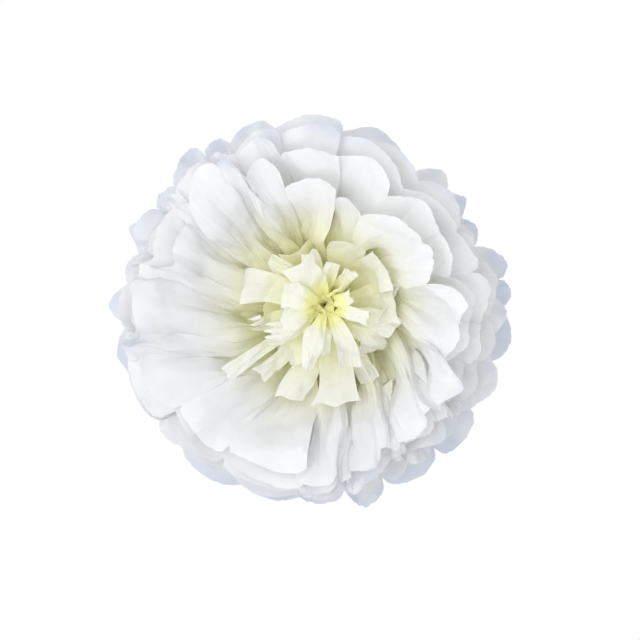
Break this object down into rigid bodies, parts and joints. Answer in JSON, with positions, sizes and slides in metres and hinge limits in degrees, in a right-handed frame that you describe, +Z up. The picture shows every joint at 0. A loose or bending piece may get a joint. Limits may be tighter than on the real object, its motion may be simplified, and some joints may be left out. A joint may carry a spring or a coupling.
{
  "type": "paper wall flower",
  "caption": "Round wall flower of pleated tissue paper: stacked sheets tied at the waist, fanned to a full circle and peeled forward into petals.",
  "frame": {"origin": "where the tail of the tie wire meets the wall, behind the waist of the sheets", "axes": "the flower faces -Y and its back touches the wall at y = 0, +X is to the right as its front is seen, +Z is up"},
  "size_m": [0.252, 0.1022, 0.246],
  "materials": {
    "outer_sheet_1": "matt, translucent white tissue paper",
    "outer_sheet_2": "matt, translucent white tissue paper",
    "outer_sheet_3": "matt, translucent white tissue paper",
    "outer_sheet_4": "matt, translucent white tissue paper",
    "outer_sheet_5": "matt, translucent white tissue paper",
    "outer_sheet_6": "matt, translucent white tissue paper",
    "inner_sheet_1": "matt, translucent cream-white tissue paper",
    "inner_sheet_2": "matt, translucent cream-white tissue paper",
    "tie_wire": "satin galvanised wire"
  },
  "bodies": {
    "root": {"outer_sheet_1": "outer_sheet_1", "outer_sheet_2": "outer_sheet_2", "outer_sheet_3": "outer_sheet_3", "outer_sheet_4": "outer_sheet_4", "outer_sheet_5": "outer_sheet_5", "outer_sheet_6": "outer_sheet_6", "inner_sheet_1": "inner_sheet_1", "inner_sheet_2": "inner_sheet_2", "tie_wire": "tie_wire"}
  },
  "joints": []
}
